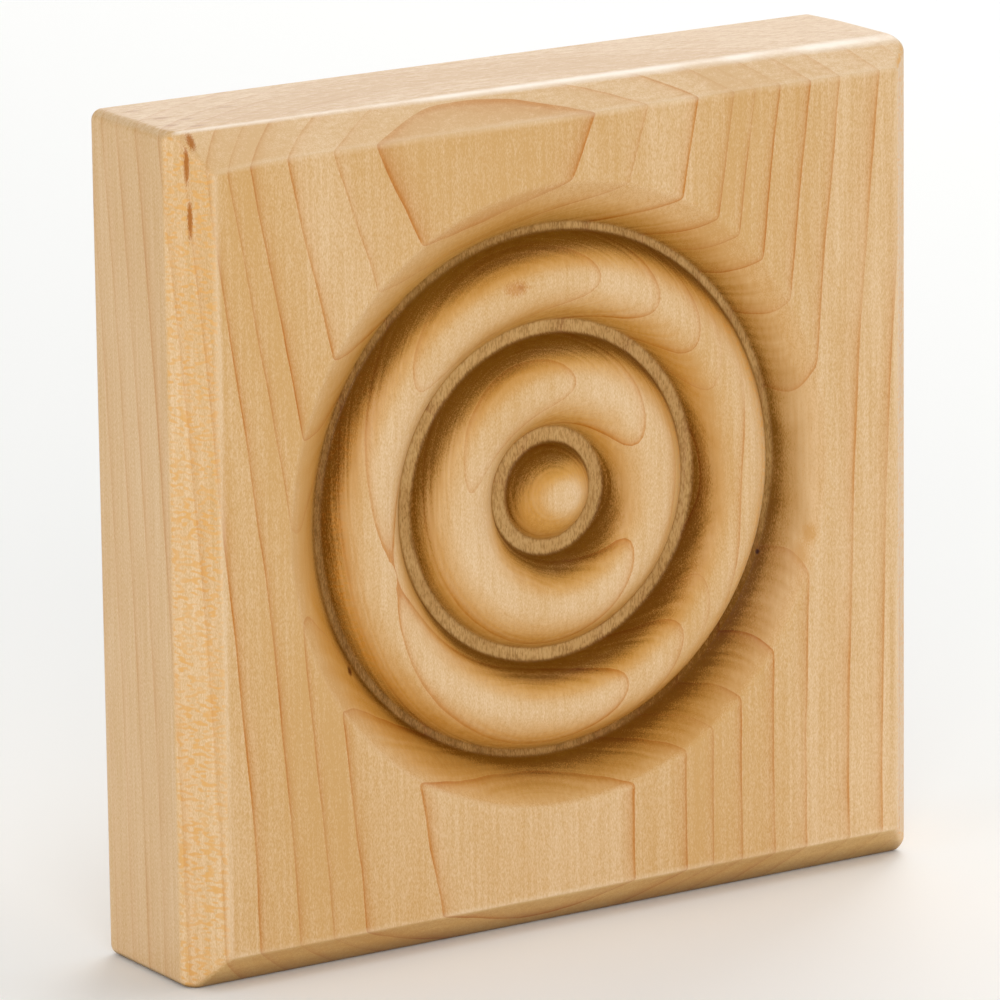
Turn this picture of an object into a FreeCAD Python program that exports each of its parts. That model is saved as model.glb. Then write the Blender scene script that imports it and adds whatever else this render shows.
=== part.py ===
"""Corner rosette block: a square maple trim block with a turned bull's-eye in its face.

One solid. The origin is the centre of the back face, which goes against the wall.
+Z is up along the grain, +X is to the right seen from the room, and the carved face
looks along -Y. All sizes are in millimetres.
"""
import FreeCAD, Part
import math
import os

# The block
block_width = 88.9
block_height = 88.9
block_thickness = 19.05

# Bevels round the face: how far each runs in across the face and back down the side
left_bevel_inset = 3.5
left_bevel_depth = 4.2
right_bevel_inset = 2.7
right_bevel_depth = 2.6
top_bevel_inset = 3.1
top_bevel_depth = 3.5
bottom_bevel_inset = 3.6
bottom_bevel_depth = 3.3

# Sanded radius on every outside edge
edge_ease = 0.7

# The turning: its axis stands a little above the middle of the face
turning_rise = 1.6
groove_depth = 3.6

# Radii from the turning's axis, from the middle outwards
button_radius = 5.2
inner_groove_width = 1.55
inner_bead_width = 9.9
middle_groove_width = 1.35
outer_bead_width = 9.35
outer_groove_width = 0.8
dish_width = 4.85

# Crowns of the turned forms, below the face
button_drop = 0.2
bead_drop = 0.3

# Slopes, in degrees: the beads' straight flanks, and the dish where it breaks through the face
flank_slope = 56.0
dish_lip_slope = 28.0

# How far the turning tool stands clear of the face
tool_clearance = 5.0


def vector(x, y, z):
    return FreeCAD.Vector(x, y, z)


def half_space(point, outward, reach):
    """A cube that fills everything beyond the plane through a point."""
    cube = Part.makeBox(2 * reach, 2 * reach, reach, vector(-reach, -reach, 0))
    turn = FreeCAD.Rotation(vector(0, 0, 1), outward)
    cube.Placement = FreeCAD.Placement(point, turn)
    return cube


def bevel_plane(side, half_size, inset, depth):
    """A point on one bevel and its outward direction; side is the way the edge faces."""
    arris = side * half_size + vector(0, depth - block_thickness, 0)
    outward = side * depth + vector(0, -inset, 0)
    return arris, outward.normalize()


def eased_block():
    """The bevelled block. A core smaller by the easing radius is swelled by that radius."""
    core = Part.makeBox(
        block_width - 2 * edge_ease,
        block_thickness - 2 * edge_ease,
        block_height - 2 * edge_ease,
        vector(edge_ease - block_width / 2, edge_ease - block_thickness, edge_ease - block_height / 2),
    )
    bevels = [
        bevel_plane(vector(-1, 0, 0), block_width / 2, left_bevel_inset, left_bevel_depth),
        bevel_plane(vector(1, 0, 0), block_width / 2, right_bevel_inset, right_bevel_depth),
        bevel_plane(vector(0, 0, 1), block_height / 2, top_bevel_inset, top_bevel_depth),
        bevel_plane(vector(0, 0, -1), block_height / 2, bottom_bevel_inset, bottom_bevel_depth),
    ]
    reach = block_width + block_height + block_thickness
    for point, outward in bevels:
        core = core.cut(half_space(point - outward * edge_ease, outward, reach))
    return core.makeOffsetShape(edge_ease, 0.001, join=0)


def turning_tool():
    """Everything that the turning takes away, as one revolved section."""
    face = -block_thickness
    floor = face + groove_depth

    def at(radius, y):
        return vector(radius, y, 0)

    slope = math.radians(flank_slope)

    def crown(middle, half_width, drop):
        """The round top of a bead, as a function that gives its point at an angle from the crest."""
        rise = groove_depth - drop
        radius = (half_width - rise / math.tan(slope)) / math.tan(slope / 2)

        def point(angle):
            return at(middle + radius * math.sin(angle), face + drop + radius * (1 - math.cos(angle)))

        return point

    def bead(inner, outer):
        """A bead from groove floor to groove floor: two straight flanks and a crown tangent to them."""
        point = crown((inner + outer) / 2, (outer - inner) / 2, bead_drop)
        return [
            Part.makeLine(at(inner, floor), point(-slope)),
            Part.Arc(point(-slope), point(0), point(slope)).toShape(),
            Part.makeLine(point(slope), at(outer, floor)),
        ]

    inner_bead_start = button_radius + inner_groove_width
    inner_bead_end = inner_bead_start + inner_bead_width
    outer_bead_start = inner_bead_end + middle_groove_width
    outer_bead_end = outer_bead_start + outer_bead_width
    dish_start = outer_bead_end + outer_groove_width
    lip = dish_start + dish_width

    # The button is half of such a bead, on the axis
    button_point = crown(0, button_radius, button_drop)
    button = [
        Part.Arc(button_point(0), button_point(slope / 2), button_point(slope)).toShape(),
        Part.makeLine(button_point(slope), at(button_radius, floor)),
    ]

    # The dish is an arc that leaves the lip at the lip slope and ends on the groove floor
    run = vector(dish_start - lip, groove_depth, 0)
    half_turn = math.atan2(groove_depth, dish_width) - math.radians(dish_lip_slope)
    bulge = run.Length / 2 * math.tan(half_turn / 2)
    outward = vector(-groove_depth, -dish_width, 0).normalize()
    dish_middle = at(lip, face) + run * 0.5 + outward * bulge
    dish = Part.Arc(at(dish_start, floor), dish_middle, at(lip, face)).toShape()

    section = [
        *button,
        Part.makeLine(at(button_radius, floor), at(inner_bead_start, floor)),
        *bead(inner_bead_start, inner_bead_end),
        Part.makeLine(at(inner_bead_end, floor), at(outer_bead_start, floor)),
        *bead(outer_bead_start, outer_bead_end),
        Part.makeLine(at(outer_bead_end, floor), at(dish_start, floor)),
        dish,
        Part.makeLine(at(lip, face), at(lip, face - tool_clearance)),
        Part.makeLine(at(lip, face - tool_clearance), at(0, face - tool_clearance)),
        Part.makeLine(at(0, face - tool_clearance), at(0, face + button_drop)),
    ]
    profile = Part.Face(Part.Wire(section))
    tool = profile.revolve(vector(0, 0, 0), vector(0, 1, 0), 360)
    tool.translate(vector(0, 0, turning_rise))
    return tool


def main():
    os.makedirs("parts", exist_ok=True)
    block = eased_block().cut(turning_tool())
    solid = block.Solids[0]
    print("valid", solid.isValid(), "solids", len(block.Solids), "volume", round(solid.Volume, 1))
    print("box", solid.BoundBox)
    solid.exportStep(os.path.join("parts", "rosette_block.step"))


main()
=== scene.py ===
# %% [markdown]
# A corner rosette block is the square of wood that sits where two door or window casings meet.
# This one is a single piece of maple, 3 1/2 inches square and 3/4 inch thick. Its four front edges
# are bevelled, and a bull's-eye of two beads and a button is cut into its face.
# The construction model comes in first as a fixed frame. Everything made here is fitted to it.

# %% Load the frame
import bpy
import math
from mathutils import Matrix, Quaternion, Vector


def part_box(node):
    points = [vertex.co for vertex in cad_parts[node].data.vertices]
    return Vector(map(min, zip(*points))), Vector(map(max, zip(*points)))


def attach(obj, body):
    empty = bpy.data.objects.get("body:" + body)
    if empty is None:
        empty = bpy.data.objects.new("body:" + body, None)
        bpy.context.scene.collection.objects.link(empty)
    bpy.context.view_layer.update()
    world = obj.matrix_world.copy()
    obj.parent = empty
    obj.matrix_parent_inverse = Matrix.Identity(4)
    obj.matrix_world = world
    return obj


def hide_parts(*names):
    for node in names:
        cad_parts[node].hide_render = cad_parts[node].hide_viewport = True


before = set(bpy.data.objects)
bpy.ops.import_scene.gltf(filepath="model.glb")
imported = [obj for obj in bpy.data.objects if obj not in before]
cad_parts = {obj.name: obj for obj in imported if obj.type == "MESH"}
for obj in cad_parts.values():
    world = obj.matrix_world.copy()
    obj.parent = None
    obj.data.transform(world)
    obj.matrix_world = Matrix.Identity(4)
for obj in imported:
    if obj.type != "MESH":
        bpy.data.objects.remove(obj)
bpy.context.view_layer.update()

MM = 0.001
low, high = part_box("rosette_block")
width = (high.x - low.x) / MM
height = (high.z - low.z) / MM
thickness = (high.y - low.y) / MM
print(f"block {width:.2f} x {height:.2f} x {thickness:.2f} mm")

# %% [markdown]
# The camera stands to the left of the block and a little above it, far away with a long lens, as
# for a catalogue picture: the edges of the block stay almost parallel. The place and the point that
# it looks at are real sizes in the block's own frame, and the lens follows from the framing.

# %% Camera
camera_place = Vector((-451.8, -718.8, 209.3)) * MM
camera_aim = Vector((2.6, -2.4, -2.5)) * MM
camera_roll = math.radians(-0.70)
image_pixels = 1000
focal_pixels = 8351.0

camera = bpy.data.objects.new("camera", bpy.data.cameras.new("camera"))
camera.data.lens = camera.data.sensor_width * focal_pixels / image_pixels
camera.location = camera_place
camera.rotation_mode = "QUATERNION"
upright = (camera_aim - camera_place).to_track_quat("-Z", "Y")
camera.rotation_quaternion = upright @ Quaternion((0, 0, 1), camera_roll)
bpy.context.scene.collection.objects.link(camera)
bpy.context.scene.camera = camera
print(f"camera lens {camera.data.lens:.1f} mm")

# %% [markdown]
# The turning is a section that goes round an axis: a button in the middle, two round beads, three
# flat-bottomed grooves and a dish that rises to a lip. A shaped cutter in a drill press cuts it in
# the real block. Here the section is a list of points, from the axis outwards, each a radius and a
# depth below the face. A bead has straight flanks that run into a round crown, so its points come
# from one arc and two lines. Sanding has eased the lip and lacquer has filled the groove corners,
# so both are rounded with small fillets.

# %% Section of the turning
turning_rise = 1.6
groove_depth = 3.6
button_radius = 5.2
inner_groove = (button_radius, 6.75)
middle_groove = (16.65, 18.0)
outer_groove = (27.35, 28.15)
lip_radius = 33.0
button_drop = 0.2
bead_drop = 0.3
flank_slope = math.radians(56)
lip_slope = math.radians(28)
lip_ease = 1.5
corner_ease = 0.3
arc_steps = 14
fillet_steps = 8
corner_steps = 4
tiny = 1e-6


def fillet(before, corner, after, radius, steps=fillet_steps):
    """Points of an arc that rounds the corner between two straight runs."""
    back = (Vector(before) - Vector(corner)).normalized()
    on = (Vector(after) - Vector(corner)).normalized()
    half_angle = back.angle(on) / 2
    centre = Vector(corner) + (back + on).normalized() * radius / math.sin(half_angle)
    first = (Vector(corner) + back * radius / math.tan(half_angle) - centre) / radius
    last = (Vector(corner) + on * radius / math.tan(half_angle) - centre) / radius
    return [centre + first.slerp(last, step / steps) * radius for step in range(steps + 1)]


def bead(start, end, drop):
    """Points of a bead from one groove floor to the next."""
    half = (end - start) / 2
    rise = groove_depth - drop
    crown = (half - rise / math.tan(flank_slope)) / math.tan(flank_slope / 2)
    points = [(start, groove_depth)]
    for step in range(arc_steps + 1):
        angle = flank_slope * (2 * step / arc_steps - 1)
        points.append((start + half + crown * math.sin(angle), drop + crown * (1 - math.cos(angle))))
    return points + [(end, groove_depth)]


def dish(start, end):
    """Points of the dish from its groove floor up to the lip, one arc."""
    steep = 2 * math.atan2(groove_depth, end - start) - lip_slope
    radius = groove_depth / (math.cos(lip_slope) - math.cos(steep))
    points = []
    for step in range(arc_steps + 1):
        angle = steep + (lip_slope - steep) * step / arc_steps
        points.append((
            end - radius * (math.sin(angle) - math.sin(lip_slope)),
            radius * (math.cos(lip_slope) - math.cos(angle)),
        ))
    return points


button = bead(-button_radius, button_radius, button_drop)
sharp = [(max(radius, 0.0), depth) for radius, depth in button if radius > -tiny]
sharp += bead(inner_groove[1], middle_groove[0], bead_drop)
sharp += bead(middle_groove[1], outer_groove[0], bead_drop)
sharp += dish(outer_groove[1], lip_radius)
lip = sharp.pop()
lip_reach = lip_ease * math.tan(lip_slope / 2)
sharp = [point for point in sharp if point[0] < lip_radius - lip_reach]
turning = sharp[:1]
for before, point, after in zip(sharp, sharp[1:], sharp[2:]):
    on_floor = point[1] > groove_depth - tiny
    turning += fillet(before, point, after, corner_ease, corner_steps) if on_floor else [point]
on_face = (width / 2, 0.0)
turning += [sharp[-1]] + fillet(sharp[-1], lip, on_face, lip_ease)
print(f"turning has {len(turning)} points, lip at {turning[-1][0]:.2f} mm")

# %% [markdown]
# Outside the lip the block is cut by planes parallel to its face: each cut is a rectangle with
# rounded corners, and the deeper the cut, the less the bevels take off it. The bevels were cut and
# sanded by hand, so no two are alike, and each arris, where a bevel meets its side, is rubbed round.
# The top bevel narrows from left to right while its arris gets rounder, so it has a section for each
# end, and its left end is worn further into the face. One function draws a section as a line with
# filleted corners, and another reads from it how far the side stands in at a given depth.

# %% Edge sections of the four sides
# Each bevel: its inset across the face, its depth down the side and the radius of its arris
bevels = {
    "left": (3.5, 4.2, 0.9),
    "right": (2.7, 2.6, 0.9),
    "bottom": (3.6, 3.3, 0.9),
    "top left": (3.47, 3.5, 1.2),
    "top right": (2.73, 3.5, 3.6),
}
corner_wear = 0.8
wear_falloff = 20.0
face_ease = 0.5
back_ease = 0.9
shown_depth = 1.5


def edge_line(inset, depth, ease):
    """One side's edge as points of (inset from the side, depth below the face)."""
    middle = (width / 4, 0.0)
    arris = (0.0, depth)
    heel = (0.0, thickness)
    line = fillet(middle, (inset, 0.0), arris, face_ease)
    line += fillet((inset, 0.0), arris, heel, ease)
    line += fillet(arris, heel, (width / 4, thickness), back_ease)
    return line


def inset_at(line, depth):
    """How far a side stands in at a depth, read from its edge line."""
    for near, far in zip(line, line[1:]):
        if near.y <= depth <= far.y and far.y > near.y:
            return near.x + (far.x - near.x) * (depth - near.y) / (far.y - near.y)
    return line[0].x if depth <= line[0].y else line[-1].x


edges = {side: edge_line(*size) for side, size in bevels.items()}
insets = {side: round(inset_at(line, shown_depth), 2) for side, line in edges.items()}
print(f"insets {shown_depth} mm below the face: {insets}")

# %% [markdown]
# The rows of the block's skin, from the middle of the button, out over the face, down the sides and
# in to the middle of the back. A row is either turned, a circle of some radius, or square, a
# rectangle with its own inset on each side, and between the lip and the face's edge it is a mix of
# the two. One corner, at the top right of the back, is knocked rounder than the others, and rows near
# the back say by how much. Rows crowd together where the skin bends.

# %% Rows of the skin
mitre_round = 0.6
corner_round = 1.1
heel_round = 0.8
heel_reach = 6.0
heel_gap = 0.05
first_step = 0.01
fine_step = 0.12
step_ramp = 0.1
past_bevel = 1.0
face_mixes = (0.02, 0.15, 0.3, 0.45, 0.6, 0.75, 0.88, 0.96)
side_depths = (7.0, 10.0, 12.5, 13.0, 14.0, 15.0, 16.0, 17.0, thickness - back_ease - heel_gap)
back_shares = (0.03, 0.35, 0.7, 1.0)
deepest_bevel = max(depth for inset, depth, ease in bevels.values())
names = ("radius", "depth", "square", "round", "heel", "worn", *bevels)
rows = []


def add_row(depth, radius=0.0, square=1.0, share=0.0, corner=corner_round):
    """One row; share moves a square row in towards the middle of the block."""
    row = {"radius": radius, "depth": depth, "square": square, "round": corner * (1 - share)}
    near_back = max(1 - (thickness - depth) / heel_reach, 0.0)
    row["heel"] = heel_round * near_back * (1 - share)
    wear = corner_wear if depth < thickness / 2 else 0.0
    row["worn"] = wear * inset_at(edges["top left"], depth) / bevels["top left"][0]
    for side, line in edges.items():
        half = (width if side in ("left", "right") else height) / 2
        inset = inset_at(line, depth)
        row[side] = inset + (half - inset) * share
    rows.append(row)


for radius, depth in turning:
    add_row(0.0, radius, 0.0, 0.0, mitre_round)
    rows[-1]["depth"] = depth
for square in face_mixes:
    add_row(0.0, turning[-1][0], square, 0.0, mitre_round)
depth = 0.0
while depth < deepest_bevel + past_bevel:
    mix = min(depth / deepest_bevel, 1.0)
    add_row(depth, corner=mitre_round + (corner_round - mitre_round) * mix)
    depth += first_step + fine_step * min(depth / step_ramp, 1.0)
for depth in side_depths:
    add_row(depth)
for step in range(fillet_steps + 1):
    add_row(thickness - back_ease * (1 - math.sin(math.pi / 2 * step / fillet_steps)))
for share in back_shares:
    add_row(thickness, share=share)
print(f"{len(rows)} rows")

# %% [markdown]
# One small function adds a node to any tree, sets it up and links it, so that both the shape and
# the finish read from top to bottom like a recipe. Another turns the lengths of a pattern, in
# millimetres, into the scales that draw it.

# %% Helpers for node trees
MATH = "ShaderNodeMath"
VECTOR = "ShaderNodeVectorMath"
MIX = "ShaderNodeMix"
NOISE = "ShaderNodeTexNoise"
RANGE = "ShaderNodeMapRange"
CURVE = "ShaderNodeFloatCurve"


def add(tree, kind, inputs=None, out=0, stops=(), **settings):
    """Adds a node. Inputs map a socket to a value or to another node's output; stops draw a curve."""
    node = tree.nodes.new(kind)
    for name, value in settings.items():
        setattr(node, name, value)
    for key, value in (inputs or {}).items():
        if isinstance(value, bpy.types.NodeSocket):
            tree.links.new(value, node.inputs[key])
        else:
            node.inputs[key].default_value = value
    if stops:
        points = node.mapping.curves[0].points
        points[0].location, points[-1].location = stops[0], stops[-1]
        for stop in stops[1:-1]:
            points.new(*stop)
        for point in points:
            point.handle_type = "VECTOR"
        node.mapping.update()
    return node.outputs[out]


def per_mm(lengths):
    """Scales along three directions for a pattern with these lengths in millimetres."""
    return [1 / length for length in lengths]


print("helpers ready")

# %% [markdown]
# The skin could be modelled by hand with loop cuts, but its shape follows a rule, so Geometry Nodes
# make it. A grid has one row of points for each row above and as many columns as it takes to walk
# round the block. The tree's sizes are named inputs, which its modifier sets.

# %% Inputs of the skin tree
skin = bpy.data.node_groups.new("rosette skin", "GeometryNodeTree")
new_socket = skin.interface.new_socket
new_socket("Rows", in_out="INPUT", socket_type="NodeSocketGeometry")
sizes = {
    "Half Width": width / 2 * MM,
    "Half Height": height / 2 * MM,
    "Turning Rise": turning_rise * MM,
    "Wear Falloff": wear_falloff,
    "Crisp Bend": math.radians(24),
    "Row Count": len(rows),
    "Points per Side": 84,
    "Points per Corner": 10,
}
sockets = {}
for name, value in sizes.items():
    kind = "NodeSocketInt" if isinstance(value, int) else "NodeSocketFloat"
    sockets[name] = new_socket(name, in_out="INPUT", socket_type=kind)
sockets["Finish"] = new_socket("Finish", in_out="INPUT", socket_type="NodeSocketMaterial")
new_socket("Skin", in_out="OUTPUT", socket_type="NodeSocketGeometry")
given = skin.nodes.new("NodeGroupInput").outputs
print(f"{len(sizes)} sizes go into the skin tree")

# %% [markdown]
# The column says how far round the walk has come. It counts sides: up the right one from 0 to 1,
# along the top to 2, down the left one to 3 and back along the bottom to 4, with a short arc at each
# corner. From that count come how far across the block and how far up the point stands, each from
# 0 to 1, and the way that it faces.

# %% Walk round the block
side_count = 4.0
half_side = 0.5
top_middle = 1.5
left_middle = 2.5

side_points = given["Points per Side"]
corner_points = given["Points per Corner"]
quarter_points = add(skin, MATH, {0: side_points, 1: corner_points}, operation="ADD")
columns = add(skin, MATH, {0: quarter_points, 1: side_count, 2: 1.0}, operation="MULTIPLY_ADD")
index = add(skin, "GeometryNodeInputIndex")
column = add(skin, MATH, {0: index, 1: columns}, operation="MODULO")
row_ratio = add(skin, MATH, {0: index, 1: columns}, operation="DIVIDE")
row_number = add(skin, MATH, {0: row_ratio}, operation="FLOOR")
quarter_ratio = add(skin, MATH, {0: column, 1: quarter_points}, operation="DIVIDE")
quarter = add(skin, MATH, {0: quarter_ratio}, operation="FLOOR")
within = add(skin, MATH, {0: column, 1: quarter_points}, operation="MODULO")
along_raw = add(skin, MATH, {0: within, 1: side_points}, operation="DIVIDE")
along = add(skin, MATH, {0: along_raw, 1: 1.0}, operation="MINIMUM")
past_side = add(skin, MATH, {0: within, 1: side_points}, operation="SUBTRACT")
round_raw = add(skin, MATH, {0: past_side, 1: corner_points}, operation="DIVIDE")
round_corner = add(skin, MATH, {0: round_raw, 1: 0.0}, operation="MAXIMUM")

walk = add(skin, MATH, {0: quarter, 1: along}, operation="ADD")
across_from = add(skin, MATH, {0: walk, 1: left_middle}, operation="SUBTRACT")
across_size = add(skin, MATH, {0: across_from}, operation="ABSOLUTE")
across = add(skin, MATH, {0: across_size, 1: half_side}, operation="SUBTRACT", use_clamp=True)
up_from = add(skin, MATH, {0: walk, 1: top_middle}, operation="SUBTRACT")
up_size = add(skin, MATH, {0: up_from}, operation="ABSOLUTE")
up = add(skin, MATH, {0: top_middle, 1: up_size}, operation="SUBTRACT", use_clamp=True)
facing_quarter = add(skin, MATH, {0: quarter, 1: round_corner}, operation="ADD")
facing = add(skin, MATH, {0: facing_quarter, 1: math.pi / 2}, operation="MULTIPLY")
facing_x = add(skin, MATH, {0: facing}, operation="COSINE")
facing_z = add(skin, MATH, {0: facing}, operation="SINE")
print(f"the walk takes {len(skin.nodes)} nodes")

# %% [markdown]
# The row's insets place the point on its rectangle. The top bevel runs there from its left section
# to its right one, with the wear at its left end, and one corner of the back is rounder. A turned
# row then pulls the point onto a circle about the turning's axis in the same direction.

# %% Place of each point
row = {}
for name in names:
    value = add(skin, "GeometryNodeInputNamedAttribute", {"Name": name}, data_type="FLOAT")
    row[name] = add(
        skin, "GeometryNodeSampleIndex",
        {"Geometry": given["Rows"], 1: value, "Index": row_number}, data_type="FLOAT",
    )

# The rectangle
heel_corner = add(skin, MATH, {0: across, 1: up}, operation="MULTIPLY")
corner = add(skin, MATH, {0: row["heel"], 1: heel_corner, 2: row["round"]}, operation="MULTIPLY_ADD")
top_even = add(skin, MIX, {0: across, 2: row["top left"], 3: row["top right"]})
to_left = add(skin, MATH, {0: 1.0, 1: across}, operation="SUBTRACT")
at_left = add(skin, MATH, {0: to_left, 1: given["Wear Falloff"]}, operation="POWER")
top_inset = add(skin, MATH, {0: row["worn"], 1: at_left, 2: top_even}, operation="MULTIPLY_ADD")
reach = {}
for side, half in (("left", "Half Width"), ("right", "Half Width"), ("bottom", "Half Height")):
    reach[side] = add(skin, MATH, {0: given[half], 1: row[side]}, operation="SUBTRACT")
reach["top"] = add(skin, MATH, {0: given["Half Height"], 1: top_inset}, operation="SUBTRACT")
inner = {}
for side in reach:
    inner[side] = add(skin, MATH, {0: reach[side], 1: corner}, operation="SUBTRACT")
from_left = add(skin, MATH, {0: inner["left"], 1: -1.0}, operation="MULTIPLY")
from_bottom = add(skin, MATH, {0: inner["bottom"], 1: -1.0}, operation="MULTIPLY")
inner_x = add(skin, MIX, {0: across, 2: from_left, 3: inner["right"]})
inner_z = add(skin, MIX, {0: up, 2: from_bottom, 3: inner["top"]})
square_x = add(skin, MATH, {0: corner, 1: facing_x, 2: inner_x}, operation="MULTIPLY_ADD")
square_z = add(skin, MATH, {0: corner, 1: facing_z, 2: inner_z}, operation="MULTIPLY_ADD")
square_point = add(skin, "ShaderNodeCombineXYZ", {"X": square_x, "Y": row["depth"], "Z": square_z})

# The circle
axis_point = add(skin, "ShaderNodeCombineXYZ", {"Y": row["depth"], "Z": given["Turning Rise"]})
spoke = add(skin, VECTOR, {0: square_point, 1: axis_point}, operation="SUBTRACT")
spoke_unit = add(skin, VECTOR, {0: spoke}, operation="NORMALIZE")
turned_arm = add(skin, VECTOR, {0: spoke_unit, "Scale": row["radius"]}, operation="SCALE")
turned_point = add(skin, VECTOR, {0: axis_point, 1: turned_arm}, operation="ADD")
point = add(
    skin, MIX, {0: row["square"], 4: turned_point, 5: square_point}, out=1, data_type="VECTOR",
)
print(f"each point reads {len(names)} values from its row")

# %% [markdown]
# The grid takes those places. Merging by distance then closes the seam, where the last column meets
# the first, and the two poles, in the middle of the button and of the back. Faces are shaded smooth,
# and only edges that bend sharply stay crisp.

# %% Skin from the grid
merge_gap = 0.001

grid = add(
    skin, "GeometryNodeMeshGrid",
    {"Vertices X": given["Row Count"], "Vertices Y": columns, "Size X": 1.0, "Size Y": 1.0},
)
placed = add(skin, "GeometryNodeSetPosition", {"Geometry": grid, "Position": point})
closed = add(skin, "GeometryNodeMergeByDistance", {"Geometry": placed, "Distance": merge_gap * MM})
smooth = add(skin, "GeometryNodeSetShadeSmooth", {"Geometry": closed, "Shade Smooth": True})
bend = add(skin, "GeometryNodeInputMeshEdgeAngle")
crisp = add(skin, MATH, {0: bend, 1: given["Crisp Bend"]}, operation="GREATER_THAN")
creased = add(
    skin, "GeometryNodeSetShadeSmooth",
    {"Geometry": smooth, "Selection": crisp, "Shade Smooth": False}, domain="EDGE",
)
real = add(skin, "GeometryNodeRealizeInstances", {"Geometry": creased})
finished = add(skin, "GeometryNodeSetMaterial", {"Geometry": real, "Material": given["Finish"]})
add(skin, "NodeGroupOutput", {"Skin": finished}, out=slice(0))
print(f"{len(skin.nodes)} nodes in the skin tree")

# %% [markdown]
# The finish is hard maple, sawn, sanded and given a clear satin lacquer. A wood that is only painted
# on would show the same lines on every side, so this one is solid: each point of the block asks how
# far it lies from the pith of the tree. The board was sawn so that the pith runs in front of the
# face, a little to the left of its middle. Rings then show as long arches on the flat face, as loops
# on the beads, as straight lines on the sides and as arcs on the ends.

# %% Colours


def linear(code):
    """An sRGB hex colour as linear RGBA."""
    channels = [int(code[place:place + 2], 16) / 255 for place in (1, 3, 5)]
    return [c / 12.92 if c <= 0.04045 else ((c + 0.055) / 1.055) ** 2.4 for c in channels] + [1.0]


maple_warm = linear("#CB9E5F")
maple_pale = linear("#E2C298")
ring_brown = linear("#E0AA08")
ray_orange = linear("#DBA354")
# Painted highlight and sheen: a pale colour laid on the edges of the face and on the top bevel
painted_highlight_pale = linear("#EFDCBE")
# Painted highlight: a near-white colour along the top arris
arris_highlight_white = linear("#F8EEDF")
# Amber and burnt brown also carry the painted shade of the hollows in the turning
amber = linear("#EFD594")
burn_and_shade_brown = linear("#928144")
# Painted shade for the bottom bevel
bottom_shade_brown = linear("#E8DEAC")
floor_tan = linear("#C8A46E")
streak_brown = linear("#A86200")
knot_orange = linear("#B8700A")
nick_dark = linear("#6A3408")
lacquer_gold = linear("#C8923C")
print("maple", [round(c, 3) for c in maple_warm])

# %% [markdown]
# Where a point lies in the tree: its distance from the pith and its angle round it. The pith leans
# away from the face towards the bottom, more on the left than on the right, and the rings wander a
# little, as they do in any tree. All of this is added to the squared distance: the lean grows with
# the height and the bow with its square.

# %% Place in the tree
pith_across = -7.0
pith_ahead = 40.0
lean_left = 7.2
lean_right = 4.05
lean_step = 32.0
lean_blend = 8.0
bow = 0.065
wander_area = 90.0
wander_lengths = (16, 16, 40)

# Sanded maple under satin lacquer: a warm, even colour with a soft, broad sheen and no deep gloss
maple = bpy.data.materials.new("hard_maple_satin_lacquer")
maple.use_nodes = True
wood = maple.node_tree
wood.nodes.clear()
place = add(wood, "ShaderNodeTexCoord", out="Object")
place_mm = add(wood, VECTOR, {0: place, "Scale": 1 / MM}, operation="SCALE")
x, y, z = add(wood, "ShaderNodeSeparateXYZ", {0: place_mm}, out=slice(3))
behind_face = add(wood, MATH, {0: y, 1: thickness}, operation="ADD")

# Slow wander of the rings along the grain
wander_place = add(wood, VECTOR, {0: place_mm, 1: per_mm(wander_lengths)}, operation="MULTIPLY")
wander_noise = add(wood, NOISE, {"Vector": wander_place, "Scale": 1.0, "Detail": 3.0, "Roughness": 0.6})
wander = add(wood, MATH, {0: wander_noise, 1: wander_area, 2: -wander_area / 2}, operation="MULTIPLY_ADD")

# Squared distance from the leaning pith
pith_x = add(wood, MATH, {0: x, 1: -pith_across}, operation="ADD")
pith_x_area = add(wood, MATH, {0: pith_x, 1: pith_x}, operation="MULTIPLY")
pith_y = add(wood, MATH, {0: behind_face, 1: pith_ahead}, operation="ADD")
pith_y_area = add(wood, MATH, {0: pith_y, 1: pith_y}, operation="MULTIPLY")
right_side = add(
    wood, RANGE, {"Value": pith_x, "From Min": -lean_blend, "From Max": lean_blend},
    interpolation_type="SMOOTHSTEP",
)
lean_gain = lean_left - lean_right
lean_rate = add(wood, MATH, {0: right_side, 1: lean_gain, 2: -lean_left}, operation="MULTIPLY_ADD")
bow_rate = add(wood, MATH, {0: z, 1: -bow, 2: lean_rate}, operation="MULTIPLY_ADD")
lean_area = add(wood, MATH, {0: bow_rate, 1: z, 2: wander}, operation="MULTIPLY_ADD")
step_area = add(wood, MATH, {0: right_side, 1: -lean_step, 2: lean_area}, operation="MULTIPLY_ADD")
upright_area = add(wood, MATH, {0: pith_x_area, 1: pith_y_area}, operation="ADD")
pith_area = add(wood, MATH, {0: upright_area, 1: step_area}, operation="ADD")
pith_distance = add(wood, MATH, {0: pith_area}, operation="SQRT")
pith_angle = add(wood, MATH, {0: pith_x, 1: pith_y}, operation="ARCTAN2")
round_pith = add(wood, MATH, {0: pith_angle, 1: pith_distance}, operation="MULTIPLY")
tree_place = add(wood, "ShaderNodeCombineXYZ", {"X": round_pith, "Y": pith_distance, "Z": z})

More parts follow.
